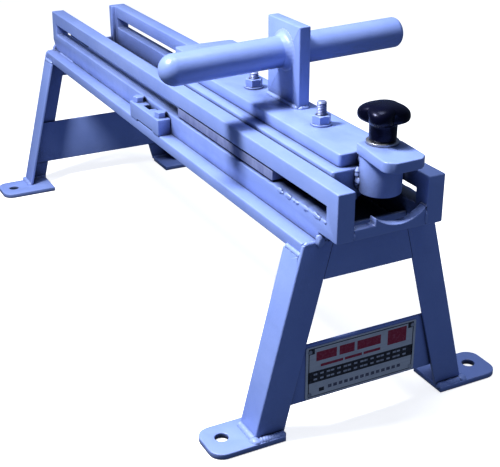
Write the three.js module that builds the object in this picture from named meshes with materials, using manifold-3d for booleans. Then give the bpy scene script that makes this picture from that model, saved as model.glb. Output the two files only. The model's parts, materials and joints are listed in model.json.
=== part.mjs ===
// Manual bench tool: a slotted two-rail frame on four splayed angle legs, with a
// carriage that is pushed along the rails by a cross handle and carries a knob clamp
// at its front end. Millimetres, +Z up, +X towards the clamp end. Stations along X
// are measured from the rear end of the rails and moved to the centre of the footprint
// when each piece is placed.
import * as THREE from "three";
import { mergeVertices } from "three/addons/utils/BufferGeometryUtils.js";
import Module from "manifold-3d";

// Frame
const RAIL_LENGTH = 620;
const RAIL_INNER = 30;
const RAIL_OUTER = 44;
const RAIL_TOP = 200;
const RAIL_BOTTOM = 156;
const RAIL_REAR = { top: -3, waist: -5.5, waistZ: 167, toe: 3, toeZ: 157.5 };
const REAR_POST = { front: 5.6, inner: 25, bottom: 156 };
const SLOT = { rear: 9, front: 605, bottom: 174.8, top: 186.4, raggedFrom: 340, raggedPitch: 6.5 };
const LEG_FACE = 596;
const POST_BOTTOM = 163;
const BASE = { rear: 3, front: 593, half: 56, bottom: 146, top: 156 };
const LEG = { width: 25, thickness: 3, outer: 58.3, knee: 146, top: 155, bottom: 5, spread: 36 };
const FOOT = { inner: 70.5, outer: 129.2, thickness: 5, corner: 11, holeY: 114 };
const FOOT_SPAN = { rear: [3, 42.5], front: [564, 601.5] };
const FOOT_HOLE = { diameter: 10.5, x: { rear: 22.75, front: 580.5 } };
const CROSS = { thickness: 3, lowBottom: 24, lowTop: 72, highBottom: 125, gap: 0.1 };
const CROSS_TOP = { rear: { near: 172, far: 164 }, front: { near: 165, far: 165 } };
const END_PLATE = { rear: 611.5, front: 619.5, bottom: POST_BOTTOM, top: 178, ledge: 171, ledgeEnd: -12.5 };
const NOTCH = { y: 8, z: 199, radius: 30.4 };

// Carriage
const SLAB = { rear: 308, front: 588, half: 29, bottom: 178, top: 202.5, nose: 3 };
const TONGUE = { rear: 350, front: 525, outer: 42.5, bottom: 176.6, top: 184.4 };
const REAR_BLOCK = { rear: 310, front: 336, near: -27, far: 31, top: 228, corner: 4 };
const TOP_PLATE = { rear: 345, front: 583, near: -20.5, far: 23, top: 212.5 };
const STUD_Y = 2;
const STUDS = [{ x: 410, top: 226 }, { x: 520, top: 231 }];
const HANDLE_POST = { rear: 428.5, front: 480, near: 5, far: 15, top: 277.4 };
const HANDLE = { x: 456, z: 253.7, near: -102, far: 114, radius: 12.4, tilt: 1.8 };
const HANDLE_DOME = { near: 12.4, far: 7 };
const CLAMP_AXIS = { x: 597, y: 5 };
const BOSS = { radius: 15.4, bottom: 186, top: 214 };
const CLAMP_TOP = 222;
const WASHER = { radius: 11.8, top: 224 };
const KNOB = { stem: 9.8, stemTop: 237, top: 250.4, root: 13, tip: 18.7, lobes: 4 };

// Fasteners
const THREAD = 4;
const CLEAR_HOLE = 4.4;
const NUT = { flats: 13, height: 6.5 };
const PLAIN_WASHER = { radius: 8, height: 1.5 };

// Stop block on the near rail
const STOP = { rear: 270, front: 338, near: -57, far: -44.4, bottom: BASE.top, top: 171 };
const STOP_NOTCH = { rear: 290, front: 304, near: -51 };
const STOP_RELIEF = { rear: 286.5, front: 323, depth: 3, height: 1.6 };
const STOP_PIN = { x: 300, y: -47.4, radius: 2.6, top: 169 };
const STOP_BOLT = { y: -50, flats: 9.5, height: 5, thread: 2.5, hole: 2.9, hidden: 11 };
const STOP_BOLTS = [276.5, 328.5];

const CENTRE_X = 315.55;
const EPS = 1;

const wasm = await Module();
wasm.setup();

function paint(color, roughness, metalness = 0) {
  return { color, roughness, metalness };
}

const LAVENDER = paint(0x8f9fd8, 0.5);
const ZINC = paint(0xa9abb5, 0.35, 0.9);
const BLACK = paint(0x14151a, 0.3);
const PLATE = paint(0xe6e6ea, 0.4, 0.3);

const assembly = new THREE.Group();
assembly.name = "rail_slide_tool";

function place(name, geometry, look) {
  const placed = geometry.clone();
  placed.translate(-CENTRE_X, 0, 0);
  const mesh = new THREE.Mesh(placed, new THREE.MeshStandardMaterial(look));
  mesh.name = name;
  assembly.add(mesh);
}

function toManifold(geometry) {
  const bare = geometry.clone();
  bare.deleteAttribute("normal");
  bare.deleteAttribute("uv");
  const welded = mergeVertices(bare, 1e-4);
  return new wasm.Manifold(new wasm.Mesh({
    numProp: 3,
    vertProperties: new Float32Array(welded.attributes.position.array),
    triVerts: new Uint32Array(welded.index.array),
  }));
}

function toGeometry(body) {
  const mesh = body.getMesh();
  const geometry = new THREE.BufferGeometry();
  geometry.setAttribute("position", new THREE.BufferAttribute(mesh.vertProperties, 3));
  geometry.setIndex(new THREE.BufferAttribute(mesh.triVerts, 1));
  geometry.computeVertexNormals();
  return geometry;
}

function cut(geometry, tools) {
  let body = toManifold(geometry);
  for (const tool of tools) {
    body = body.subtract(toManifold(tool));
  }
  return toGeometry(body);
}

// Outline corners are [a, b] or [a, b, radius]; a radius rounds that corner.
function outline(corners, steps = 6) {
  const points = [];
  corners.forEach(([a, b, radius], i) => {
    const here = new THREE.Vector2(a, b);
    if (!radius) {
      points.push(here);
      return;
    }
    const before = corners[(i + corners.length - 1) % corners.length];
    const after = corners[(i + 1) % corners.length];
    const toBefore = new THREE.Vector2(before[0] - a, before[1] - b).normalize();
    const toAfter = new THREE.Vector2(after[0] - a, after[1] - b).normalize();
    const half = Math.acos(toBefore.dot(toAfter)) / 2;
    const reach = radius / Math.tan(half);
    const bisector = toBefore.clone().add(toAfter).normalize();
    const centre = here.clone().addScaledVector(bisector, radius / Math.sin(half));
    const first = here.clone().addScaledVector(toBefore, reach).sub(centre);
    const last = here.clone().addScaledVector(toAfter, reach).sub(centre);
    const turn = Math.atan2(first.cross(last), first.dot(last));
    for (let k = 0; k <= steps; k += 1) {
      const step = first.clone().rotateAround(new THREE.Vector2(), (turn * k) / steps);
      points.push(step.add(centre));
    }
  });
  return points;
}

const SWEEP = {
  X: new THREE.Matrix4().makeBasis(
    new THREE.Vector3(0, 1, 0), new THREE.Vector3(0, 0, 1), new THREE.Vector3(1, 0, 0)),
  Y: new THREE.Matrix4().makeBasis(
    new THREE.Vector3(1, 0, 0), new THREE.Vector3(0, 0, 1), new THREE.Vector3(0, -1, 0)),
  Z: new THREE.Matrix4(),
};

// Sweeps an outline along an axis: (y, z) along X, (x, z) along Y, (x, y) along Z.
function sweep(axis, corners, from, to, holes = []) {
  const shape = new THREE.Shape(outline(corners));
  for (const hole of holes) {
    shape.holes.push(new THREE.Path(hole));
  }
  const geometry = new THREE.ExtrudeGeometry(shape, { depth: to - from, bevelEnabled: false });
  geometry.applyMatrix4(SWEEP[axis]);
  const start = axis === "Y" ? to : from;
  const shift = { X: [start, 0, 0], Y: [0, start, 0], Z: [0, 0, start] }[axis];
  geometry.translate(...shift);
  return geometry;
}

function rectangle(a0, a1, b0, b1, radius = 0) {
  return [[a0, b0, radius], [a1, b0, radius], [a1, b1, radius], [a0, b1, radius]];
}

function box(x0, x1, y0, y1, z0, z1) {
  return sweep("Z", rectangle(x0, x1, y0, y1), z0, z1);
}

function circle(a, b, radius, steps = 32) {
  const points = [];
  for (let k = 0; k < steps; k += 1) {
    const angle = (2 * Math.PI * k) / steps;
    points.push(new THREE.Vector2(a + radius * Math.cos(angle), b + radius * Math.sin(angle)));
  }
  return points;
}

// Turned piece about a vertical axis; profile is [radius, z] from bottom to top.
function turned(x, y, profile, steps = 40) {
  const points = profile.map(([radius, z]) => new THREE.Vector2(radius, z));
  const geometry = new THREE.LatheGeometry(points, steps);
  geometry.rotateX(Math.PI / 2);
  geometry.translate(x, y, 0);
  return geometry;
}

function rod(x, y, radius, z0, z1, chamfer = 0) {
  if (!chamfer) {
    return turned(x, y, [[0, z0], [radius, z0], [radius, z1], [0, z1]]);
  }
  return turned(x, y, [
    [0, z0], [radius - chamfer, z0], [radius, z0 + chamfer],
    [radius, z1 - chamfer], [radius - chamfer, z1], [0, z1],
  ]);
}

function ring(x, y, radius, bore, z0, z1) {
  return sweep("Z", circle(x, y, radius, 40).map((p) => [p.x, p.y]), z0, z1, [circle(x, y, bore)]);
}

function hexagon(x, y, flats) {
  const corners = [];
  for (let k = 0; k < 6; k += 1) {
    const angle = (Math.PI / 3) * k + 0.35;
    const reach = flats / Math.sqrt(3);
    corners.push([x + reach * Math.cos(angle), y + reach * Math.sin(angle)]);
  }
  return corners;
}

const SIDES = [["near", -1], ["far", 1]];
const ENDS = [["rear", BASE.rear - LEG.thickness, -1], ["front", LEG_FACE, 1]];

function along(side, inner, outer) {
  return side < 0 ? [-outer, -inner] : [inner, outer];
}

// Side rails: thick plates with one long slot, flame-cut ragged along its lower edge.
function raggedSlot(side) {
  const points = [[SLOT.rear, SLOT.bottom]];
  const count = Math.floor((SLOT.front - SLOT.raggedFrom) / SLOT.raggedPitch);
  for (let i = 0; i <= count; i += 1) {
    const x = SLOT.raggedFrom + i * SLOT.raggedPitch;
    const rough = side < 0 && x > TONGUE.front ? 1.3 : 0.5;
    const rise = (i % 2) * rough * (0.6 + 0.4 * Math.sin(i * 2.4));
    points.push([x, SLOT.bottom + rise]);
  }
  points.push([SLOT.front, SLOT.bottom], [SLOT.front, SLOT.top], [SLOT.rear, SLOT.top]);
  return points.map(([x, z]) => new THREE.Vector2(x, z));
}

const railCorners = [
  [RAIL_REAR.toe, RAIL_REAR.toeZ],
  [8, RAIL_BOTTOM],
  [LEG_FACE, RAIL_BOTTOM],
  [LEG_FACE, POST_BOTTOM],
  [RAIL_LENGTH, POST_BOTTOM],
  [RAIL_LENGTH, RAIL_TOP],
  [RAIL_REAR.top, RAIL_TOP],
  [RAIL_REAR.waist, RAIL_REAR.waistZ],
];

// The far rail's rear end stands proud of its inner face and stops the carriage slab.
function rail(side) {
  const [y0, y1] = along(side, RAIL_INNER, RAIL_OUTER);
  const plate = sweep("Y", railCorners, y0, y1, [raggedSlot(side)]);
  if (side < 0) {
    return plate;
  }
  const post = box(RAIL_REAR.top, REAR_POST.front, REAR_POST.inner, RAIL_INNER + EPS,
    REAR_POST.bottom, RAIL_TOP);
  return toGeometry(toManifold(plate).add(toManifold(post)));
}

for (const [label, side] of SIDES) {
  place(`side_rail_${label}`, rail(side), LAVENDER);
}

// One flat plate under both rails closes the channel from below.
const baseCorners = rectangle(BASE.rear, BASE.front, -BASE.half, BASE.half);
place("base_plate", sweep("Z", baseCorners, BASE.bottom, BASE.top), LAVENDER);

// Angle legs: the end flange faces along X and laps the end of the base plate, the
// outer flange stops under the plate, and the section leans outwards to the floor.
const LEAN = LEG.spread / (LEG.knee - LEG.bottom);

function leg(endX, end, side) {
  const inX = endX - end * LEG.thickness;
  const edgeX = endX - end * LEG.width;
  const outY = side * LEG.outer;
  const inY = side * (LEG.outer - LEG.thickness);
  const edgeY = side * (LEG.outer - LEG.width);
  const corners = [
    [endX, outY, 1.5], [endX, edgeY], [inX, edgeY], [inX, inY, 3], [edgeX, inY], [edgeX, outY],
  ];
  const geometry = sweep("Z", corners, LEG.bottom, LEG.top);
  const lean = side * LEAN;
  geometry.applyMatrix4(new THREE.Matrix4().set(
    1, 0, 0, 0,
    0, 1, -lean, lean * LEG.knee,
    0, 0, 1, 0,
    0, 0, 0, 1,
  ));
  const [x0, x1] = [edgeX - end, inX].sort((a, b) => a - b);
  const [y0, y1] = along(side, 0, 90);
  return cut(geometry, [box(x0, x1, y0, y1, LEG.knee, LEG.top + EPS)]);
}

function foot(label, side) {
  const [x0, x1] = FOOT_SPAN[label];
  const inY = side * FOOT.inner;
  const outY = side * FOOT.outer;
  const corners = [[x0, inY], [x0, outY, FOOT.corner], [x1, outY, FOOT.corner], [x1, inY]];
  const hole = circle(FOOT_HOLE.x[label], side * FOOT.holeY, FOOT_HOLE.diameter / 2);
  return sweep("Z", corners, 0, FOOT.thickness, [hole]);
}

// Distances from the centreline to the inner faces of the two flanges at a height.
function insideOuterFlange(z) {
  return LEG.outer - LEG.thickness + LEAN * (LEG.knee - z) - CROSS.gap;
}

function insideEndFlange(z) {
  return LEG.outer - LEG.width + LEAN * (LEG.knee - z) - CROSS.gap;
}

for (const [endLabel, endX, end] of ENDS) {
  for (const [label, side] of SIDES) {
    place(`leg_${endLabel}_${label}`, leg(endX, end, side), LAVENDER);
    place(`foot_${endLabel}_${label}`, foot(endLabel, side), LAVENDER);
  }
  const face = endX - end * LEG.thickness;
  const lowX = [face, face - end * CROSS.thickness].sort((a, b) => a - b);
  const wideLow = insideOuterFlange(CROSS.lowBottom) - 3;
  const wideTop = insideOuterFlange(CROSS.lowTop) - 3;
  const lower = [
    [-wideLow, CROSS.lowBottom], [wideLow, CROSS.lowBottom],
    [wideTop, CROSS.lowTop], [-wideTop, CROSS.lowTop],
  ];
  place(`cross_plate_lower_${endLabel}`, sweep("X", lower, ...lowX), LAVENDER);
  const highX = [endX, endX - end * CROSS.thickness].sort((a, b) => a - b);
  const hem = insideEndFlange(CROSS.highBottom);
  const waist = insideEndFlange(LEG.top);
  const neck = (end < 0 ? REAR_POST.inner : RAIL_INNER) - CROSS.gap;
  const crest = CROSS_TOP[endLabel];
  const upper = [
    [-hem, CROSS.highBottom], [hem, CROSS.highBottom], [waist, LEG.top], [neck, LEG.top],
    [neck, crest.far], [-4, crest.far], [-neck, crest.near], [-neck, LEG.top], [-waist, LEG.top],
  ];
  place(`cross_plate_upper_${endLabel}`, sweep("X", upper, ...highX), LAVENDER);
}

// Low end plate between the front posts. Its round notch clears the clamp boss, and its
// near end is cut down to a level ledge.
function endPlate() {
  const { rear, front, bottom, top, ledge, ledgeEnd } = END_PLATE;
  const blank = box(rear, front, -RAIL_INNER, RAIL_INNER, bottom, top);
  const round = circle(NOTCH.y, NOTCH.z, NOTCH.radius, 64).map((p) => [p.x, p.y]);
  const notch = sweep("X", round, rear - EPS, front + EPS);
  const step = box(rear - EPS, front + EPS, -RAIL_INNER - EPS, ledgeEnd, ledge, top + EPS);
  return cut(blank, [notch, step]);
}

place("end_plate_notched", endPlate(), LAVENDER);

// Name plate on the front lower cross plate.
const platePegs = [[-47, 29], [44, 29], [-47, 66], [44, 66]];
const platePanel = rectangle(-50.5, 47.5, 25.6, 70, 1.5);
const plateHoles = platePegs.map(([y, z]) => circle(y, z, 1.5, 16));
const plateBack = LEG_FACE - LEG.thickness;
place("name_plate", sweep("X", platePanel, plateBack, plateBack + 0.8, plateHoles), PLATE);
platePegs.forEach(([y, z], i) => {
  const shank = circle(y, z, 1.2, 16).map((p) => [p.x, p.y]);
  place(`name_plate_rivet_${i + 1}`, sweep("X", shank, plateBack, plateBack + 1.9), ZINC);
});

// Carriage: slab between the rails, tongues in both slots, plates welded on top.
function slab() {
  const corners = [
    [SLAB.rear, -SLAB.half, 2], [SLAB.front, -SLAB.half, SLAB.nose],
    [SLAB.front, SLAB.half, SLAB.nose], [SLAB.rear, SLAB.half, 2],
  ];
  const blank = sweep("Z", corners, SLAB.bottom, SLAB.top);
  const bossRoom = rod(CLAMP_AXIS.x, CLAMP_AXIS.y, BOSS.radius + 0.3, SLAB.bottom - EPS, SLAB.top + EPS);
  const blindHoles = STUDS.map(({ x }) => rod(x, STUD_Y, CLEAR_HOLE, 190, SLAB.top + EPS));
  return cut(blank, [bossRoom, ...blindHoles]);
}

function topPlate() {
  const corners = [
    [TOP_PLATE.rear, TOP_PLATE.near, 2], [TOP_PLATE.front, TOP_PLATE.near, 3],
    [TOP_PLATE.front, TOP_PLATE.far, 4], [TOP_PLATE.rear, TOP_PLATE.far, 2],
  ];
  const holes = STUDS.map(({ x }) => circle(x, STUD_Y, CLEAR_HOLE));
  const blank = sweep("Z", corners, SLAB.top, TOP_PLATE.top, holes);
  const bossRoom = rod(CLAMP_AXIS.x, CLAMP_AXIS.y, BOSS.radius + 0.3, SLAB.top - EPS, TOP_PLATE.top + EPS);
  return cut(blank, [bossRoom]);
}

place("carriage_slab", slab(), LAVENDER);
for (const [label, side] of SIDES) {
  const [y0, y1] = along(side, SLAB.half, TONGUE.outer);
  const profile = rectangle(TONGUE.rear, TONGUE.front, TONGUE.bottom, TONGUE.top, 1);
  place(`carriage_tongue_${label}`, sweep("Y", profile, y0, y1), ZINC);
}
place("carriage_top_plate", topPlate(), LAVENDER);

function rearBlock() {
  const { rear, front, near, far, corner, top } = REAR_BLOCK;
  return sweep("Z", rectangle(rear, front, near, far, corner), SLAB.top, top);
}

place("carriage_rear_block", rearBlock(), LAVENDER);

STUDS.forEach(({ x, top }, i) => {
  const seat = TOP_PLATE.top;
  const nutSeat = seat + PLAIN_WASHER.height;
  place(`plate_stud_${i + 1}`, rod(x, STUD_Y, THREAD, 190.5, top, 1), ZINC);
  place(`plate_washer_${i + 1}`,
    ring(x, STUD_Y, PLAIN_WASHER.radius, CLEAR_HOLE, seat, nutSeat), LAVENDER);
  const nut = sweep("Z", hexagon(x, STUD_Y, NUT.flats), nutSeat, nutSeat + NUT.height,
    [circle(x, STUD_Y, CLEAR_HOLE)]);
  place(`plate_nut_${i + 1}`, nut, LAVENDER);
});

// Cross handle: a round bar with domed ends through an upright flat bar.
function tilted(geometry) {
  geometry.rotateX(THREE.MathUtils.degToRad(HANDLE.tilt));
  geometry.translate(HANDLE.x, 0, HANDLE.z);
  return geometry;
}

function handleBar() {
  const profile = [new THREE.Vector2(0, HANDLE.near)];
  const steps = 8;
  for (let k = 1; k <= steps; k += 1) {
    const angle = (Math.PI / 2) * (k / steps);
    profile.push(new THREE.Vector2(HANDLE.radius * Math.sin(angle),
      HANDLE.near + HANDLE_DOME.near * (1 - Math.cos(angle))));
  }
  for (let k = steps; k >= 1; k -= 1) {
    const angle = (Math.PI / 2) * (k / steps);
    profile.push(new THREE.Vector2(HANDLE.radius * Math.sin(angle),
      HANDLE.far - HANDLE_DOME.far * (1 - Math.cos(angle))));
  }
  profile.push(new THREE.Vector2(0, HANDLE.far));
  return tilted(new THREE.LatheGeometry(profile, 40));
}

function handlePost() {
  const corners = rectangle(HANDLE_POST.rear, HANDLE_POST.front, TOP_PLATE.top, HANDLE_POST.top, 1);
  const blank = sweep("Y", corners, HANDLE_POST.near, HANDLE_POST.far);
  const bore = new THREE.CylinderGeometry(HANDLE.radius + 0.3, HANDLE.radius + 0.3, 60, 48);
  return cut(blank, [tilted(bore)]);
}

function handleWeld() {
  const bore = HANDLE.radius + 0.3;
  const flare = [
    [bore, -9], [13.1, -9], [13.8, -6], [15, -3.6], [17.4, -1.6], [17.8, 2], [bore, 2], [bore, -9],
  ];
  const points = flare.map(([radius, y]) => new THREE.Vector2(radius, y + HANDLE_POST.near));
  return cut(tilted(new THREE.LatheGeometry(points, 40)), [
    box(400, 500, HANDLE_POST.near, HANDLE_POST.far + 20, 200, 300),
  ]);
}

place("handle_post", handlePost(), LAVENDER);
place("handle_bar", handleBar(), LAVENDER);
place("handle_weld_collar", handleWeld(), LAVENDER);

// Knob clamp: vertical sleeve on the carriage nose, swinging clamp plate, washer, knob.
const { x: clampX, y: clampY } = CLAMP_AXIS;
const bossOutline = circle(clampX, clampY, BOSS.radius, 48).map((p) => [p.x, p.y]);
const boss = sweep("Z", bossOutline, BOSS.bottom, BOSS.top, [circle(clampX, clampY, CLEAR_HOLE)]);
place("clamp_boss", boss, LAVENDER);

const clampCorners = [
  [588.5, -11, 2], [631.5, -16.2, 7], [636.6, -9, 7], [635.7, 11.5, 3],
  [631, 17, 5], [600.5, 19.4, 8], [588.5, 15, 3],
];
const clampPlate = sweep("Z", clampCorners, BOSS.top, CLAMP_TOP, [circle(clampX, clampY, CLEAR_HOLE)]);
place("clamp_plate", clampPlate, LAVENDER);
place("clamp_washer", ring(clampX, clampY, WASHER.radius, CLEAR_HOLE, CLAMP_TOP, WASHER.top), ZINC);

function starOutline(grow) {
  const points = [];
  const count = 80;
  for (let k = 0; k < count; k += 1) {
    const angle = (2 * Math.PI * k) / count;
    const wave = 0.5 - 0.5 * Math.cos(KNOB.lobes * angle);
    const radius = KNOB.root + (KNOB.tip - KNOB.root) * Math.sqrt(wave) + grow;
    points.push([clampX + radius * Math.cos(angle), clampY + radius * Math.sin(angle)]);
  }
  return points;
}

function knob() {
  const head = sweep("Z", starOutline(0), KNOB.stemTop, KNOB.top);
  const crown = turned(clampX, clampY, [
    [0, KNOB.stemTop - EPS], [12, KNOB.stemTop - EPS], [KNOB.tip - 1, KNOB.stemTop + 2.6],
    [KNOB.tip + 0.1, KNOB.stemTop + 4.5], [KNOB.tip + 0.1, KNOB.top - 5.5],
    [KNOB.tip - 2.5, KNOB.top - 2.6], [KNOB.root - 1, KNOB.top],
    [0, KNOB.top],
  ]);
  const stem = rod(clampX, clampY, KNOB.stem, WASHER.top, KNOB.stemTop + EPS);
  const bore = rod(clampX, clampY, CLEAR_HOLE, WASHER.top - EPS, KNOB.stemTop);
  const body = toManifold(head).intersect(toManifold(crown));
  return toGeometry(body.add(toManifold(stem)).subtract(toManifold(bore)));
}

place("knob", knob(), BLACK);
place("knob_stud", rod(clampX, clampY, THREAD, 190, KNOB.stemTop - 0.4, 1), ZINC);

// Stop block beside the near rail, held by two small bolts.
function stopBlock() {
  const { rear, front, near, far, bottom, top } = STOP;
  const blank = sweep("Z", rectangle(rear, front, near, far, 1), bottom, top);
  const notch = box(STOP_NOTCH.rear, STOP_NOTCH.front, STOP_NOTCH.near, far + EPS, bottom - EPS, top + EPS);
  const relief = box(STOP_RELIEF.rear, STOP_RELIEF.front, near - EPS, near + STOP_RELIEF.depth,
    bottom - EPS, bottom + STOP_RELIEF.height);
  const floor = top - STOP_BOLT.hidden;
  const holes = STOP_BOLTS.map((x) => rod(x, STOP_BOLT.y, STOP_BOLT.hole, floor, top + EPS));
  return cut(blank, [notch, relief, ...holes]);
}

function stopBolt(x) {
  const { y, flats, height, thread, hidden } = STOP_BOLT;
  const shank = toManifold(rod(x, y, thread, STOP.top - hidden + 0.4, STOP.top + EPS));
  const head = toManifold(sweep("Z", hexagon(x, y, flats), STOP.top, STOP.top + height));
  return toGeometry(head.add(shank));
}

place("stop_block", stopBlock(), LAVENDER);
place("stop_pin", rod(STOP_PIN.x, STOP_PIN.y, STOP_PIN.radius, STOP.bottom, STOP_PIN.top, 0.6), LAVENDER);
STOP_BOLTS.forEach((x, i) => place(`stop_bolt_${i + 1}`, stopBolt(x), LAVENDER));

export default assembly;
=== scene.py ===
"""Looks for the rail-guided hand tool: painted steel skins, welds, threads, knob and name plate."""

import json
import math

import bmesh
import bpy
from mathutils import Matrix, Quaternion, Vector, noise


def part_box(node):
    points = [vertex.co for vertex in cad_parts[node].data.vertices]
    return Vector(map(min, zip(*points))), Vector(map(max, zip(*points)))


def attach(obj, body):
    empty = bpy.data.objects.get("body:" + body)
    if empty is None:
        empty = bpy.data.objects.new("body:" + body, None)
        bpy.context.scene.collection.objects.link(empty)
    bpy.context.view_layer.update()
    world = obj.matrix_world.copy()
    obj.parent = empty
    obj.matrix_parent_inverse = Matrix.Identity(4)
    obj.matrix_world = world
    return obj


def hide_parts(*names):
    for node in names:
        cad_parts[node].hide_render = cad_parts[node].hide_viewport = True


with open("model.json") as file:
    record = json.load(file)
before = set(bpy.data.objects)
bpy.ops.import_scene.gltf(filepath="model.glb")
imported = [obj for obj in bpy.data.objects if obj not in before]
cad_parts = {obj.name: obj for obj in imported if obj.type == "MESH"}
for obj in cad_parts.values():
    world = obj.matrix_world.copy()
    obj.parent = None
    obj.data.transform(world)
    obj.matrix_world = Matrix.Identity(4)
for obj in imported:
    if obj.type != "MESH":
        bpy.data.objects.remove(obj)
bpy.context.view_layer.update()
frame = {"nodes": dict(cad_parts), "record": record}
MM = 0.001
PAINTED = "lavender_paint"
BODY_OF = {
    node: body
    for body, members in frame["record"]["behaviour"]["bodies"].items()
    for node in members
}

# ---------------------------------------------------------------- camera, floor and light

CAMERA_AZIMUTH = math.radians(62.83)
CAMERA_ELEVATION = math.radians(24.49)
CAMERA_ROLL = math.radians(-0.18)
CAMERA_EYE = Vector((0.8523, -0.3912, 0.4667))
CAMERA_LENS = 75.8
FLOOR_HALF = 6
FLOOR_BELOW = 1e-4
SKY_COLOUR = (0.5, 0.66, 1, 1)
SKY_STRENGTH = 0.17


def add_camera():
    data = bpy.data.cameras.new("camera")
    data.sensor_fit = "HORIZONTAL"
    data.sensor_width = 36
    data.lens = CAMERA_LENS
    camera = bpy.data.objects.new("camera", data)
    bpy.context.scene.collection.objects.link(camera)
    towards = Vector((
        -math.sin(CAMERA_AZIMUTH) * math.cos(CAMERA_ELEVATION),
        math.cos(CAMERA_AZIMUTH) * math.cos(CAMERA_ELEVATION),
        -math.sin(CAMERA_ELEVATION),
    ))
    turn = towards.to_track_quat("-Z", "Y") @ Quaternion((0, 0, 1), CAMERA_ROLL)
    camera.matrix_world = Matrix.Translation(CAMERA_EYE) @ turn.to_matrix().to_4x4()
    bpy.context.scene.camera = camera


def add_light(name, place, aim, size, power, colour=(1, 1, 1)):
    data = bpy.data.lights.new(name, "AREA")
    data.shape = "DISK"
    data.size = size
    data.energy = power
    data.color = colour
    light = bpy.data.objects.new(name, data)
    bpy.context.scene.collection.objects.link(light)
    place = Vector(place)
    light.matrix_world = (
        Matrix.Translation(place)
        @ (Vector(aim) - place).to_track_quat("-Z", "Y").to_matrix().to_4x4()
    )


def add_surroundings():
    world = bpy.data.worlds.new("studio")
    world.use_nodes = True
    world.node_tree.nodes["Background"].inputs["Color"].default_value = SKY_COLOUR
    world.node_tree.nodes["Background"].inputs["Strength"].default_value = SKY_STRENGTH
    bpy.context.scene.world = world
    bpy.context.scene.view_settings.view_transform = "Standard"

    mesh = bpy.data.meshes.new("floor")
    corners = [
        (x * FLOOR_HALF, y * FLOOR_HALF, -FLOOR_BELOW)
        for x, y in ((-1, -1), (1, -1), (1, 1), (-1, 1))
    ]
    mesh.from_pydata(corners, [], [(0, 1, 2, 3)])
    floor = bpy.data.objects.new("floor", mesh)
    bpy.context.scene.collection.objects.link(floor)
    mesh.materials.append(floor_material())
    floor.visible_diffuse = False
    floor.visible_glossy = False

    add_light("key", (0.03, -0.56, 1.02), (0.66, 0, 0.3), 0.24, 20.5, (1, 0.99, 0.97))
    add_light("top", (0.1, 0.05, 1.6), (0.2, 0, 0.15), 0.5, 8, (0.9, 0.95, 1))


# ---------------------------------------------------------------- materials

class Graph:
    """A short way to wire shader nodes."""

    def __init__(self, name):
        self.material = bpy.data.materials.new(name)
        self.material.use_nodes = True
        self.tree = self.material.node_tree
        self.shader = self.tree.nodes["Principled BSDF"]
        self.place = self.node("ShaderNodeTexCoord").outputs["Object"]

    def node(self, kind, settings=None, **inputs):
        made = self.tree.nodes.new(kind)
        for key, value in (settings or {}).items():
            setattr(made, key, value)
        for key, value in inputs.items():
            self.feed(made.inputs[key.replace("_", " ")], value)
        return made

    def feed(self, socket, value):
        if isinstance(value, bpy.types.NodeSocket):
            self.tree.links.new(value, socket)
        else:
            socket.default_value = value

    def set(self, **inputs):
        for key, value in inputs.items():
            self.feed(self.shader.inputs[key.replace("_", " ")], value)

    def noise(self, scale, detail=3.0, roughness=0.5, stretch=None):
        place = self.place
        if stretch:
            place = self.node("ShaderNodeMapping", Vector=place, Scale=stretch).outputs["Vector"]
        made = self.node(
            "ShaderNodeTexNoise", Vector=place, Scale=scale, Detail=detail, Roughness=roughness)
        return made.outputs["Fac"]

    def ramp(self, value, low, high, start=0.0, end=1.0):
        made = self.node("ShaderNodeMapRange", {"clamp": True}, Value=value)
        made.inputs["From Min"].default_value = low
        made.inputs["From Max"].default_value = high
        made.inputs["To Min"].default_value = start
        made.inputs["To Max"].default_value = end
        return made.outputs["Result"]

    def math(self, operation, a, b=0.0):
        made = self.tree.nodes.new("ShaderNodeMath")
        made.operation = operation
        self.feed(made.inputs[0], a)
        self.feed(made.inputs[1], b)
        return made.outputs["Value"]

    def mix(self, amount, a, b):
        made = self.node("ShaderNodeMix", {"data_type": "RGBA"})
        self.feed(made.inputs[0], amount)
        self.feed(made.inputs[6], a)
        self.feed(made.inputs[7], b)
        return made.outputs[2]

    def bump(self, height, distance, strength=1.0, normal=None):
        made = self.node("ShaderNodeBump", Height=height, Distance=distance, Strength=strength)
        if normal:
            self.feed(made.inputs["Normal"], normal)
        return made.outputs["Normal"]

    def edge(self, radius):
        """1 on an outer edge (chips, rubbed paint and a painted edge highlight), 0 on a flat face."""
        soft = self.node("ShaderNodeBevel", {"samples": 4}, Radius=radius).outputs["Normal"]
        true = self.node("ShaderNodeNewGeometry").outputs["Normal"]
        dot = self.node("ShaderNodeVectorMath", {"operation": "DOT_PRODUCT"})
        self.feed(dot.inputs[0], soft)
        self.feed(dot.inputs[1], true)
        return self.ramp(dot.outputs["Value"], 0.995, 0.9)

    def shelter(self, distance):
        """1 in tight corners, 0 on open faces."""
        made = self.node("ShaderNodeAmbientOcclusion", {"samples": 6}, Distance=distance)
        return self.ramp(made.outputs["AO"], 0.75, 0.2)


def floor_material():
    graph = Graph("pale_floor")
    tone = graph.mix(graph.noise(3, 2), (0.93, 0.93, 0.94, 1), (0.96, 0.96, 0.965, 1))
    graph.set(Base_Color=tone, Roughness=0.85, Emission_Color=(1, 1, 1, 1), Emission_Strength=0.8)
    return graph.material


STREAK = (0.2, 0.29, 0.68, 1)
SOOT_AND_CORNER_SHADE = (0.045, 0.055, 0.16, 1)
DEEP_SHADE = (0.006, 0.007, 0.02, 1)
RUBBED_EDGE_AND_HIGHLIGHT = (0.56, 0.64, 0.97, 1)
CHIPPED = (0.16, 0.15, 0.16, 1)


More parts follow.
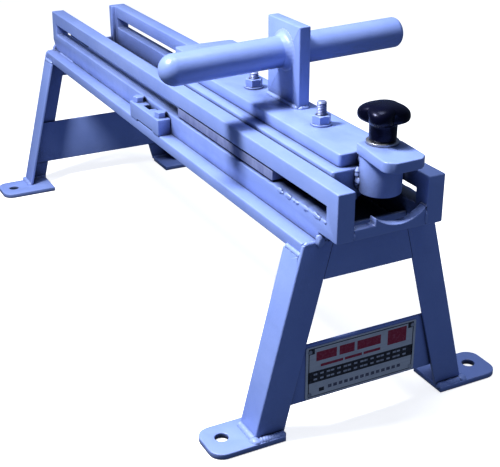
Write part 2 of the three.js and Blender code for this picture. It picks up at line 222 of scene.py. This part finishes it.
def paint_material(name, low, high):
    """Enamel with clouds, streaks, soot and painted shade in corners, painted deep shade in recesses, lighter
    rubbed edges that are partly a painted highlight, chips, orange peel and dents.
    """
    graph = Graph(name)
    cloud = graph.noise(14, 4, 0.6)
    drift = graph.ramp(cloud, 0.35, 0.65)
    colour = graph.mix(drift, low, high)
    streak = graph.ramp(graph.noise(90, 4, 0.6, (0.25, 1, 1)), 0.55, 0.75, 0, 0.28)
    colour = graph.mix(streak, colour, STREAK)
    # Soot and painted shade: tight corners take a darker blue of the enamel, patchy through noise.
    soot_and_corner_shade = graph.math("MULTIPLY", graph.shelter(0.011), graph.ramp(graph.noise(60, 3), 0.3, 0.6, 0.35, 0.8))
    colour = graph.mix(soot_and_corner_shade, colour, SOOT_AND_CORNER_SHADE)
    deep = graph.node("ShaderNodeAmbientOcclusion", {"samples": 8}, Distance=0.09).outputs["AO"]
    colour = graph.mix(graph.ramp(deep, 0.6, 0.22, 0, 0.94), colour, DEEP_SHADE)
    edge = graph.edge(0.0011)
    # Outer edges turn a lighter lavender: partly rubbed paint, partly a painted highlight.
    rub_and_highlight = graph.math("MULTIPLY", edge, graph.ramp(graph.noise(45, 3), 0.4, 0.62, 0.1, 0.6))
    colour = graph.mix(rub_and_highlight, colour, RUBBED_EDGE_AND_HIGHLIGHT)
    chip = graph.math("MULTIPLY", edge, graph.ramp(graph.noise(230, 2), 0.66, 0.7))
    colour = graph.mix(chip, colour, CHIPPED)
    peel = graph.bump(graph.noise(520, 2), 0.00018, 0.55)
    dents = graph.bump(graph.noise(38, 3), 0.0009, 0.35, peel)
    graph.set(
        Base_Color=colour,
        Roughness=graph.ramp(graph.noise(120, 3), 0.3, 0.7, 0.3, 0.5),
        Normal=dents,
        Coat_Weight=0.2,
        Coat_Roughness=0.25,
    )
    return graph.material


def steel_material(name, tone, dark, rough, metallic=0.85):
    graph = Graph(name)
    grain = graph.noise(160, 4, 0.6, (1, 1, 0.3))
    colour = graph.mix(graph.ramp(grain, 0.35, 0.7), tone, dark)
    # Darker, towards near black, in tight corners.
    corner_darkening = graph.math("MULTIPLY", graph.shelter(0.006), 0.8)
    colour = graph.mix(corner_darkening, colour, (0.02, 0.02, 0.035, 1))
    graph.set(
        Base_Color=colour,
        Metallic=metallic,
        Roughness=graph.ramp(graph.noise(300, 3), 0.3, 0.7, rough, rough + 0.22),
        Normal=graph.bump(graph.noise(900, 2), 0.00008, 0.6),
    )
    return graph.material


def knob_material():
    graph = Graph("moulded_black")
    grain = graph.noise(700, 3)
    haze = graph.ramp(graph.noise(50, 3), 0.45, 0.7)
    colour = graph.mix(haze, (0.0012, 0.0014, 0.006, 1), (0.002, 0.0024, 0.016, 1))
    graph.set(
        Base_Color=colour,
        Roughness=graph.ramp(graph.noise(90, 3), 0.3, 0.7, 0.24, 0.36),
        Normal=graph.bump(grain, 0.00006, 0.5),
        Specular_IOR_Level=0.2,
        Specular_Tint=(0.55, 0.6, 1, 1),
    )
    return graph.material


def plate_material():
    graph = Graph("etched_aluminium")
    brushed = graph.noise(700, 3, 0.6, (1, 0.06, 1))
    colour = graph.mix(graph.ramp(brushed, 0.3, 0.7), (0.72, 0.73, 0.78, 1), (0.82, 0.83, 0.87, 1))
    stain = graph.ramp(graph.noise(50, 4, 0.65), 0.5, 0.72, 0, 0.35)
    colour = graph.mix(stain, colour, (0.45, 0.45, 0.52, 1))
    graph.set(Base_Color=colour, Metallic=0.25, Roughness=0.42, Normal=graph.bump(brushed, 0.00005, 0.4))
    return graph.material


def ink_material(name, colour, faded):
    graph = Graph(name)
    wear = graph.ramp(graph.noise(420, 4, 0.65), 0.45, 0.75)
    graph.set(
        Base_Color=graph.mix(wear, colour, faded),
        Roughness=0.55,
        Normal=graph.bump(graph.noise(900, 2), 0.00003, 0.4),
    )
    return graph.material


PAINT = paint_material("lavender_enamel", (0.235, 0.34, 0.8, 1), (0.285, 0.395, 0.87, 1))
# The weld beads take a lighter copy of the enamel: a painted highlight for the light the rounded beads catch.
HIGHLIT_BEAD_PAINT = paint_material("lavender_enamel_on_weld_highlit", (0.27, 0.38, 0.83, 1), (0.33, 0.44, 0.9, 1))
ZINC = steel_material("zinc_plated_steel", (0.6, 0.62, 0.68, 1), (0.36, 0.38, 0.46, 1), 0.26)
BARE = steel_material("rubbed_steel", (0.3, 0.36, 0.66, 1), (0.19, 0.23, 0.5, 1), 0.4, 0.3)
THREADS = steel_material("painted_over_threads", (0.36, 0.42, 0.7, 1), (0.2, 0.24, 0.45, 1), 0.38, 0.45)
KNOB_BLACK = knob_material()
PLATE = plate_material()
INK_DARK = ink_material("ink_dark", (0.012, 0.012, 0.02, 1), (0.07, 0.07, 0.1, 1))
INK_RED = ink_material("ink_red", (0.42, 0.008, 0.05, 1), (0.55, 0.1, 0.16, 1))
INK_GREY = ink_material("ink_grey", (0.1, 0.1, 0.16, 1), (0.3, 0.3, 0.38, 1))
INK_PALE = ink_material("ink_pale", (0.62, 0.63, 0.7, 1), (0.25, 0.25, 0.32, 1))


# ---------------------------------------------------------------- making pieces

def finish_mesh(bm, name, sharp_degrees=38):
    """Turns a bmesh into an object, smooth except across sharp edges."""
    bm.normal_update()
    limit = math.radians(sharp_degrees)
    for face in bm.faces:
        face.smooth = True
    for edge in bm.edges:
        edge.smooth = len(edge.link_faces) == 2 and edge.calc_face_angle(0) < limit
    mesh = bpy.data.meshes.new(name)
    bm.to_mesh(mesh)
    bm.free()
    piece = bpy.data.objects.new(name, mesh)
    bpy.context.scene.collection.objects.link(piece)
    return piece


def adopt(piece, body, material, slot, *replaced):
    """Gives a piece its material and its body, and hides the CAD nodes that it stands for."""
    piece.data.materials.append(material)
    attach(piece, body)
    if replaced:
        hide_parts(*replaced)
    return piece


def skin(node, width, material=PAINT, slot=PAINTED, hull=False):
    """The CAD node's shape, its hard edges rounded by width; hull closes a bore that nothing shows."""
    source = frame["nodes"][node]
    bm = bmesh.new()
    bm.from_mesh(source.data)
    bmesh.ops.remove_doubles(bm, verts=bm.verts, dist=2e-6)
    if hull:
        wrapped = bmesh.ops.convex_hull(bm, input=bm.verts)
        spare = wrapped["geom_interior"] + wrapped["geom_unused"]
        bmesh.ops.delete(bm, geom=[v for v in spare if isinstance(v, bmesh.types.BMVert)], context="VERTS")
        kept = {f for f in wrapped["geom"] if isinstance(f, bmesh.types.BMFace)}
        bmesh.ops.delete(bm, geom=[f for f in bm.faces if f not in kept], context="FACES_ONLY")
        bmesh.ops.delete(bm, geom=[e for e in bm.edges if not e.link_faces], context="EDGES")
    bmesh.ops.dissolve_limit(bm, angle_limit=math.radians(0.6), verts=bm.verts, edges=bm.edges)
    bm.normal_update()
    hard = [
        edge for edge in bm.edges
        if len(edge.link_faces) == 2 and edge.calc_face_angle(0) > math.radians(35)
    ]
    bmesh.ops.bevel(
        bm, geom=hard, offset=width, segments=3, profile=0.5, affect="EDGES", clamp_overlap=False)
    low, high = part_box(node)
    for v in bm.verts:
        v.co = Vector(min(max(c, a), b) for c, a, b in zip(v.co, low, high))
    piece = finish_mesh(bm, node + "_skin")
    return adopt(piece, BODY_OF[node], material, slot, node)


def revolve(name, centre, profile, steps=64, shape=None):
    """Closed turned piece about a vertical axis; shape(radius, z, angle) may bend a ring."""
    bm = bmesh.new()
    rings = []
    for radius, z in profile:
        if radius < 1e-9:
            rings.append([bm.verts.new((centre[0], centre[1], z))])
            continue
        ring = []
        for k in range(steps):
            angle = 2 * math.pi * k / steps
            r, height = (radius, z) if shape is None else shape(radius, z, angle)
            ring.append(bm.verts.new((
                centre[0] + r * math.cos(angle), centre[1] + r * math.sin(angle), height)))
        rings.append(ring)
    for lower, upper in zip(rings, rings[1:]):
        for k in range(steps):
            after = (k + 1) % steps
            corners = [lower[k % len(lower)], lower[after % len(lower)],
                       upper[after % len(upper)], upper[k % len(upper)]]
            distinct = list(dict.fromkeys(corners))
            if len(distinct) > 2:
                bm.faces.new(distinct)
    bmesh.ops.recalc_face_normals(bm, faces=bm.faces)
    return finish_mesh(bm, name)


def weld(name, body, points, radius, ripple=0.16, pitch=2.2 * MM):
    """A painted weld bead: overlapping ripples swept along a line of points."""
    ring = 10
    points = [Vector(p) for p in points]
    steps = []
    for a, b in zip(points, points[1:]):
        count = max(2, int((b - a).length / (pitch / 5)))
        steps += [a.lerp(b, i / count) for i in range(count)]
    steps.append(points[-1])
    total = len(steps)
    bm = bmesh.new()
    rings = []
    travelled = 0.0
    for i, here in enumerate(steps):
        ahead = steps[min(i + 1, total - 1)] - steps[max(i - 1, 0)]
        ahead.normalize()
        if i:
            travelled += (here - steps[i - 1]).length
        side = ahead.orthogonal().normalized()
        up = ahead.cross(side)
        crest = (travelled / pitch) % 1.0
        wobble = noise.noise(here * 260 + Vector((radius * 900, 0, 0)))
        size = radius * (1 + ripple * (0.5 - crest) + 0.16 * wobble)
        taper = min(1.0, 0.35 + min(i, total - 1 - i) / 6)
        rings.append([
            bm.verts.new(here + size * taper * (
                math.cos(2 * math.pi * k / ring) * side + math.sin(2 * math.pi * k / ring) * up))
            for k in range(ring)
        ])
    for lower, upper in zip(rings, rings[1:]):
        for k in range(ring):
            after = (k + 1) % ring
            bm.faces.new((lower[k], lower[after], upper[after], upper[k]))
    bm.faces.new(rings[0])
    bm.faces.new(rings[-1])
    bmesh.ops.recalc_face_normals(bm, faces=bm.faces)
    return adopt(finish_mesh(bm, name, 70), body, HIGHLIT_BEAD_PAINT, PAINTED)


# ---------------------------------------------------------------- frame

def frame_skins():
    skin("base_plate", 1.2 * MM)
    for side in ("near", "far"):
        skin(f"side_rail_{side}", 1.1 * MM)
        for end in ("front", "rear"):
            skin(f"leg_{end}_{side}", 0.8 * MM)
            skin(f"foot_{end}_{side}", 0.8 * MM)
    for end in ("front", "rear"):
        skin(f"cross_plate_lower_{end}", 0.7 * MM)
        skin(f"cross_plate_upper_{end}", 0.7 * MM)
    skin("end_plate_notched", 0.9 * MM)
    skin("stop_block", 0.7 * MM)
    skin("stop_pin", 0.5 * MM)


def lump(name, body, centre, size, seed):
    """A small irregular blob of weld metal or slag under the paint."""
    bm = bmesh.new()
    bmesh.ops.create_icosphere(bm, subdivisions=3, radius=1)
    for v in bm.verts:
        swell = 1 + 0.28 * noise.noise(v.co * 1.6 + Vector((seed, 3.1 * seed, 0)))
        v.co = Vector(centre) + Vector((v.co.x * size[0], v.co.y * size[1], v.co.z * size[2])) * swell
    return adopt(finish_mesh(bm, name, 80), body, HIGHLIT_BEAD_PAINT, PAINTED)


def leg_welds(end, way, side, sign):
    """Beads and lumps where one leg meets the base plate, the rail and its foot."""
    base_low, base_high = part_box("base_plate")
    rail_low, rail_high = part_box(f"side_rail_{side}")
    leg_low, leg_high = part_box(f"leg_{end}_{side}")
    foot_low, foot_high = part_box(f"foot_{end}_{side}")
    face, back = (leg_high.x, leg_low.x) if way > 0 else (leg_low.x, leg_high.x)
    outer = rail_low.y if sign < 0 else rail_high.y
    rim = base_low.y if sign < 0 else base_high.y
    toe = leg_low.y if sign < 0 else leg_high.y
    top = leg_high.z
    ledge = base_low.z + 0.8 * MM
    ground = foot_high.z
    weld(f"weld_knee_{end}_{side}", "frame", [
        (face - way * 1.5 * MM, rim - sign * 1 * MM, top),
        (face - way * 1.5 * MM, sign * 35 * MM, top)], 1.9 * MM, 0.1)
    weld(f"weld_flange_{end}_{side}", "frame", [
        (face - way * 1.35 * MM, sign * 33.4 * MM, top - 1 * MM),
        (face - way * 1.35 * MM, sign * 40.4 * MM, top - 28 * MM)], 1.4 * MM, 0.03)
    weld(f"weld_ledge_{end}_{side}", "frame", [
        (face - way * 1 * MM, rim + sign * 0.2 * MM, ledge),
        (back + way * 1.5 * MM, rim + sign * 0.2 * MM, ledge)], 2.3 * MM, 0.04)
    lump(f"lump_post_{end}_{side}", "frame",
         (face + way * 0.6 * MM, outer - sign * 1 * MM, base_high.z + 1 * MM),
         (2.6 * MM, 3.4 * MM, 5 * MM), 2.0 + way + sign)
    # The rear legs overhang their feet, so the bead there is thinner and tucks under the leg.
    seam, bead = (face + 1.9 * MM, 3.1 * MM) if way > 0 else (foot_low.x - 0.8 * MM, 2.2 * MM)
    weld(f"weld_foot_face_{end}_{side}", "frame", [
        (seam, toe - sign * 2 * MM, ground - 0.6 * MM),
        (seam, toe - sign * 25 * MM, ground - 0.6 * MM)], bead)
    weld(f"weld_foot_side_{end}_{side}", "frame", [
        (face, toe - sign * 0.2 * MM, ground - 0.4 * MM),
        (back, toe - sign * 0.2 * MM, ground - 0.4 * MM)], 3.4 * MM, 0.05)
    lump(f"lump_foot_{end}_{side}", "frame", (seam - 1 * MM, toe, ground - 0.4 * MM),
         (1.4 * bead, 1.4 * bead, 3 * MM), 5.0 + way - sign)


def frame_welds():
    base_low, base_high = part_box("base_plate")
    for side, sign in (("near", -1), ("far", 1)):
        for end, way in (("front", 1), ("rear", -1)):
            leg_welds(end, way, side, sign)
        rail_low, rail_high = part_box(f"side_rail_{side}")
        outer = rail_low.y if sign < 0 else rail_high.y
        weld(f"weld_under_rail_{side}", "frame", [
            (base_low.x + 14 * MM, outer, base_high.z), (base_low.x + 60 * MM, outer, base_high.z)], 1.2 * MM)
    plate_low, plate_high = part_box("end_plate_notched")
    for side, y, height in (("near", plate_low.y, 6 * MM), ("far", plate_high.y, 11 * MM)):
        weld(f"weld_end_plate_{side}", "frame", [
            (plate_high.x, y, plate_low.z + 1.5 * MM), (plate_high.x, y, plate_low.z + height)], 1.2 * MM)


SLOT_LIP = 18.7 * MM
SLAG_COUNT = 10
SLAG_PITCH = 7.4 * MM


def slag():
    """Uneven lumps left by the flame cut on the lower lip of the near slot, close to the front.

    They cling to the outer edge of the lip, outboard of the tongue that slides past them.
    """
    rail_low, rail_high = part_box("side_rail_near")
    tongue_low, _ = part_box("carriage_tongue_near")
    lip = rail_low.z + SLOT_LIP
    for i in range(SLAG_COUNT):
        back = 16 * MM + i * SLAG_PITCH + 2.6 * MM * math.sin(i * 2.7)
        swell = 0.35 + 0.65 * math.sin(i * 1.9 + 0.6) ** 2
        lump(f"slag_{i + 1}", "frame",
             (rail_high.x - back, tongue_low.y - 1.4 * MM, lip - 0.1 * MM),
             (4.6 * MM * swell, 1.0 * MM, 2.2 * MM * swell), i * 1.7)


# ---------------------------------------------------------------- carriage

def carriage_skins():
    skin("carriage_slab", 1.3 * MM)
    skin("carriage_top_plate", 1.1 * MM)
    skin("carriage_rear_block", 1.1 * MM)
    skin("carriage_tongue_near", 0.5 * MM, BARE, "bare_steel")
    skin("carriage_tongue_far", 0.5 * MM, BARE, "bare_steel")
    skin("handle_post", 1.1 * MM, hull=True)
    skin("clamp_boss", 0.8 * MM)
    skin("clamp_plate", 0.9 * MM)


FLARE_HEIGHT = 5.4 * MM
FLARE_LENGTH = 8.5 * MM
FLARE_STEPS = 12
BAR_END_DOME = 7 * MM


def flare(name, radius, way, seed):
    """The smooth, faintly rippled weld that spreads from the bar onto one face of the post."""
    inside = radius - 0.6 * MM
    skirt = []
    for k in range(FLARE_STEPS + 1):
        t = k / FLARE_STEPS
        rise = 1 - math.sqrt(max(0.0, 1 - (1 - t) ** 2))
        skirt.append((radius - 0.3 * MM + FLARE_HEIGHT * rise, way * FLARE_LENGTH * t))
    root = -way * 0.3 * MM
    profile = [(inside, root), (skirt[0][0], root)] + skirt + [(inside, way * 8.6 * MM), (inside, root)]

    def ripple(r, z, angle):
        swell = noise.noise(Vector((math.cos(angle) * 2, math.sin(angle) * 2, z * 300 + seed * 50)))
        lift = max(0.0, r - radius) / (5 * MM)
        wave = 0.2 * MM * math.sin(angle * 30 + z * 400) + 0.7 * MM * swell
        return r + lift * wave, z

    return revolve(name, (0, 0), profile, 96, ripple)


def handle():
    """The round bar, drawn finer than the CAD solid, and the weld flares at the post."""
    source = frame["nodes"]["handle_bar"].data
    points = [v.co for v in source.vertices]
    near = min(points, key=lambda p: p.y)
    far = max(points, key=lambda p: p.y)
    axis = (far - near).normalized()
    middle = (near + far) / 2
    half = (far - near).length / 2
    radius = max((p - middle - axis * (p - middle).dot(axis)).length for p in points)
    turn = axis.to_track_quat("Z", "X").to_matrix().to_4x4()
    quarter = [math.pi / 2 * k / 14 for k in range(15)]
    profile = [(radius * math.sin(a), -half + radius * (1 - math.cos(a))) for a in quarter]
    profile += [
        (radius * math.sin(a), half - BAR_END_DOME * (1 - math.cos(a))) for a in reversed(quarter)]
    bar = revolve("handle_bar_skin", (0, 0), profile, 72)
    bar.data.transform(Matrix.Translation(middle) @ turn)
    adopt(bar, "carriage", PAINT, PAINTED, "handle_bar")

    post_low, post_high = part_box("handle_post")
    for side, y, way in (("near", post_low.y, -1), ("far", post_high.y, 1)):
        centre = middle + axis * ((y - middle.y) / axis.y)
        collar = flare(f"weld_handle_{side}", radius, way, y)
        collar.data.transform(Matrix.Translation(centre) @ turn)
        replaced = ["handle_weld_collar"] if side == "near" else []
        adopt(collar, "carriage", HIGHLIT_BEAD_PAINT, PAINTED, *replaced)


def carriage_welds():
    post_low, post_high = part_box("handle_post")
    seat = post_low.z
    for side, y in (("near", post_low.y), ("far", post_high.y)):
        weld(f"weld_post_base_{side}", "carriage", [
            (post_low.x + 1 * MM, y, seat), (post_high.x - 1 * MM, y, seat)], 2.4 * MM)
    for label, x in (("rear", post_low.x), ("front", post_high.x)):
        weld(f"weld_post_end_{label}", "carriage", [
            (x, post_low.y, seat), (x, post_high.y, seat)], 2.1 * MM)
    block_low, block_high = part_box("carriage_rear_block")
    for label, x in (("rear", block_low.x), ("front", block_high.x)):
        weld(f"weld_block_{label}", "carriage", [
            (x, block_low.y + 4 * MM, block_low.z), (x, block_high.y - 4 * MM, block_low.z)], 1.7 * MM)
    boss_low, boss_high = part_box("clamp_boss")
    radius = (boss_high.x - boss_low.x) / 2
    centre = (boss_low + boss_high) / 2
    slab_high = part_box("carriage_slab")[1]
    top_low, top_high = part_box("carriage_top_plate")
    for side, sign in (("near", -1), ("far", 1)):
        for label, x, z0, z1 in (
            ("slab", slab_high.x + 0.8 * MM, boss_low.z + 1 * MM, slab_high.z + 1 * MM),
            ("plate", top_high.x + 0.6 * MM, top_low.z, top_high.z - 1.5 * MM),
        ):
            reach = math.sqrt(max(0.0, radius ** 2 - (centre.x - x) ** 2))
            y = centre.y + sign * (reach + 0.6 * MM)
            weld(f"weld_boss_{label}_{side}", "carriage", [(x, y, z0), (x, y, z1)], 2.6 * MM, 0.22, 3.4 * MM)
        reach = math.sqrt(max(0.0, radius ** 2 - (centre.x - slab_high.x) ** 2))
        y = centre.y + sign * (reach + 1 * MM)
        lump(f"lump_boss_{side}", "carriage", (slab_high.x + 2 * MM, y, slab_high.z - 9 * MM),
             (3.4 * MM, 3 * MM, 3.6 * MM), 8.0 + sign)


# ---------------------------------------------------------------- fasteners

THREAD_PITCH = 1.25 * MM
THREAD_DEPTH = 0.62 * MM
NUT_FLATS = 13 * MM
NUT_BORE = 4.3 * MM
BOLT_FLATS = 9.5 * MM
BOLT_HEAD = 5 * MM


def threaded(node, material, thread_from):
    """A rod with a helical thread above thread_from and chamfered ends."""
    low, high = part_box(node)
    centre = (low + high) / 2
    major = (high.x - low.x) / 2
    rows = int((high.z - low.z) / (THREAD_PITCH / 6))
    profile = [(0.0, low.z)]
    for i in range(rows + 1):
        profile.append((major, low.z + (high.z - low.z) * i / rows))
    profile.append((0.0, high.z))

    def thread(radius, z, angle):
        phase = (z / THREAD_PITCH - angle / (2 * math.pi)) % 1.0
        cut = THREAD_DEPTH * (1 - abs(2 * phase - 1)) if z > thread_from else 0.0
        tip = min(z - low.z, high.z - z) / (1.1 * MM)
        return min(radius - cut, radius - 1.0 * MM * (1 - min(1.0, tip))), z

    rod = revolve(node + "_skin", centre, profile, 28, thread)
    return adopt(rod, BODY_OF[node], material, "zinc_steel", node)


def hexagon_piece(node, flats, bore=0.0, height=None):
    """A painted nut or bolt head with chamfered corners and, on a nut, a countersunk bore."""
    low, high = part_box(node)
    centre = (low + high) / 2
    turn = 0.35
    steps = 72
    bottom = high.z - height if height else low.z
    top = high.z
    bm = bmesh.new()

    def outline(angle):
        local = (angle - turn) % (math.pi / 3) - math.pi / 6
        return flats / 2 / math.cos(local)

    def ring(radius_of, height_of):
        made = []
        for k in range(steps):
            angle = turn + 2 * math.pi * k / steps
            r = radius_of(angle)
            made.append(bm.verts.new((
                centre.x + r * math.cos(angle), centre.y + r * math.sin(angle), height_of(r))))
        return made

    inner = flats / 2 * 0.97
    slope = 0.55

    def upper(r):
        return top - slope * max(0.0, r - inner)

    def lower(r):
        return bottom + slope * max(0.0, r - inner)

    rings = []
    if bore:
        rings.append(ring(lambda a: bore, lambda r: bottom + 0.5 * MM))
        rings.append(ring(lambda a: bore + 0.5 * MM, lambda r: bottom))
    rings.append(ring(lambda a: inner, lambda r: bottom))
    rings.append(ring(outline, lower))
    rings.append(ring(outline, upper))
    rings.append(ring(lambda a: inner, lambda r: top))
    if bore:
        rings.append(ring(lambda a: bore + 0.5 * MM, lambda r: top))
        rings.append(ring(lambda a: bore, lambda r: top - 0.5 * MM))
        rings.append(rings[0])
    for a, b in zip(rings, rings[1:]):
        for k in range(steps):
            after = (k + 1) % steps
            bm.faces.new((a[k], a[after], b[after], b[k]))
    if not bore:
        bm.faces.new(rings[0])
        bm.faces.new(rings[-1])
    bmesh.ops.recalc_face_normals(bm, faces=bm.faces)
    piece = finish_mesh(bm, node + "_skin", 25)
    return adopt(piece, BODY_OF[node], PAINT, PAINTED, node)


def fasteners():
    for i in (1, 2):
        threaded(f"plate_stud_{i}", THREADS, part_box(f"plate_nut_{i}")[0].z)
        hexagon_piece(f"plate_nut_{i}", NUT_FLATS, bore=NUT_BORE)
        skin(f"plate_washer_{i}", 0.35 * MM)
        hexagon_piece(f"stop_bolt_{i}", BOLT_FLATS, height=BOLT_HEAD)
    skin("clamp_washer", 0.4 * MM, ZINC, "zinc_steel")
    threaded("knob_stud", ZINC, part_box("knob_stud")[0].z)


# ---------------------------------------------------------------- knob

KNOB_REACH = 18.7 * MM
KNOB_STEM = 9.8 * MM


def knob():
    """Four-lobed moulded knob: slim stem, lobes that hang as a skirt, low domed top."""
    low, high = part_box("knob")
    stud_low, stud_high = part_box("knob_stud")
    centre = (stud_low + stud_high) / 2
    reach = KNOB_REACH
    stem = KNOB_STEM
    base = low.z
    tall = high.z - base
    profile = [
        (0.0, base), (stem - 0.6 * MM, base), (stem, base + 0.6 * MM), (stem, base + 6 * MM),
        (stem, base + 11 * MM), (stem + 0.5 * MM, base + 12.2 * MM), (stem + 1.8 * MM, base + 12.9 * MM),
        (stem + 4 * MM, base + 13.3 * MM), (reach - 3 * MM, base + 14 * MM),
        (reach - 1.1 * MM, base + 15 * MM), (reach - 0.1 * MM, base + 16.8 * MM),
        (reach - 0.1 * MM, base + tall - 6.6 * MM), (reach - 0.9 * MM, base + tall - 4.6 * MM),
        (reach - 2.8 * MM, base + tall - 2.8 * MM), (reach - 5.8 * MM, base + tall - 1.3 * MM),
        (reach - 9.6 * MM, base + tall - 0.4 * MM), (reach - 14 * MM, base + tall - 0.1 * MM),
        (0.0, high.z),
    ]

    def lobe(radius, z, angle):
        if radius <= stem + 1e-6:
            return radius, z
        fullness = (0.5 - 0.5 * math.cos(4 * angle)) ** 0.55
        share = (radius - stem) / (reach - stem)
        depth = 0.7 if z < high.z - 5 * MM else 0.5
        return radius - (reach - stem) * depth * share * (1 - fullness), z

    piece = revolve("knob_skin", centre, profile, 120, lobe)
    soften = piece.modifiers.new("round", "SUBSURF")
    soften.levels = 1
    soften.render_levels = 1
    adopt(piece, "knob", KNOB_BLACK, "knob_black", "knob")


# ---------------------------------------------------------------- name plate

def ink(name, material, cells, face):
    """Raised ink: flat blocks (y0, y1, z0, z1) lying on the plate's face."""
    bm = bmesh.new()
    for y0, y1, z0, z1 in cells:
        made = bmesh.ops.create_cube(bm, size=1.0)["verts"]
        for v in made:
            v.co = Vector((
                face + (0.05 * MM if v.co.x > 0 else -0.02 * MM),
                y1 if v.co.y > 0 else y0,
                z1 if v.co.z > 0 else z0))
    piece = finish_mesh(bm, name)
    return adopt(piece, "frame", material, "name_plate")


def name_plate():
    """Etched plate: plain red blocks above, a dark band with two rows of dashes, a grey footer.

    Each cell is given as shares of the plate's width and height.
    """
    skin("name_plate", 0.25 * MM, PLATE, "name_plate")
    low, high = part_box("name_plate")
    width = high.y - low.y
    height = high.z - low.z
    face = high.x

    def cell(a0, a1, b0, b1):
        return (low.y + a0 * width, low.y + a1 * width, low.z + b0 * height, low.z + b1 * height)

    band = [cell(0.02, 0.98, 0.3, 0.52)]
    corners = [cell(0.022, 0.075, 0.86, 0.955), cell(0.925, 0.978, 0.86, 0.955)]
    border = [
        cell(0.022, 0.978, 0.955, 0.972), cell(0.022, 0.978, 0.028, 0.042),
        cell(0.022, 0.03, 0.042, 0.955), cell(0.97, 0.978, 0.042, 0.955),
    ]
    footer_block = [cell(0.12, 0.165, 0.1, 0.17)]
    ink("plate_ink_dark", INK_DARK, band + corners + border + footer_block, face)
    upper_band = [cell(a0, a1, 0.71, 0.885) for a0, a1 in ((0.09, 0.27), (0.295, 0.43), (0.455, 0.67))]
    lower_band = [cell(a0, a1, 0.585, 0.635) for a0, a1 in ((0.13, 0.33), (0.345, 0.5), (0.515, 0.67))]
    heading = upper_band + lower_band + [cell(0.735, 0.91, 0.63, 0.92)]
    ink("plate_ink_heading", INK_RED, heading, face)
    rows = []
    for row, (b0, b1) in enumerate(((0.44, 0.475), (0.345, 0.38))):
        for i in range(17):
            start = 0.07 + i * 0.0505 + 0.007 * ((i * 7 + row * 3) % 3)
            rows.append(cell(start, start + 0.031, b0, b1))
    ink("plate_ink_rows", INK_PALE, rows, face + 0.05 * MM)
    foot = [cell(0.2 + i * 0.049, 0.232 + i * 0.049, 0.125, 0.185) for i in range(14)]
    ink("plate_ink_foot", INK_GREY, foot, face)
    for i in range(1, 5):
        rivet_low, rivet_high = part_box(f"name_plate_rivet_{i}")
        middle = (rivet_low + rivet_high) / 2
        radius = (rivet_high.y - rivet_low.y) / 2
        dome = [(0.0, rivet_low.x)] + [
            (radius * 1.5 * math.cos(a), face - 0.05 * MM + 1.1 * MM * math.sin(a))
            for a in (math.pi / 2 * k / 8 for k in range(8))
        ] + [(0.0, face + 1.05 * MM)]
        head = revolve(f"name_plate_rivet_{i}_skin", (0, 0), dome, 24)
        head.data.transform(Matrix((
            (0, 0, 1, 0), (1, 0, 0, middle.y), (0, 1, 0, middle.z), (0, 0, 0, 1))))
        adopt(head, "frame", ZINC, "zinc_steel", f"name_plate_rivet_{i}")


add_camera()
add_surroundings()
frame_skins()
frame_welds()
slag()
carriage_skins()
handle()
carriage_welds()
fasteners()
knob()
name_plate()
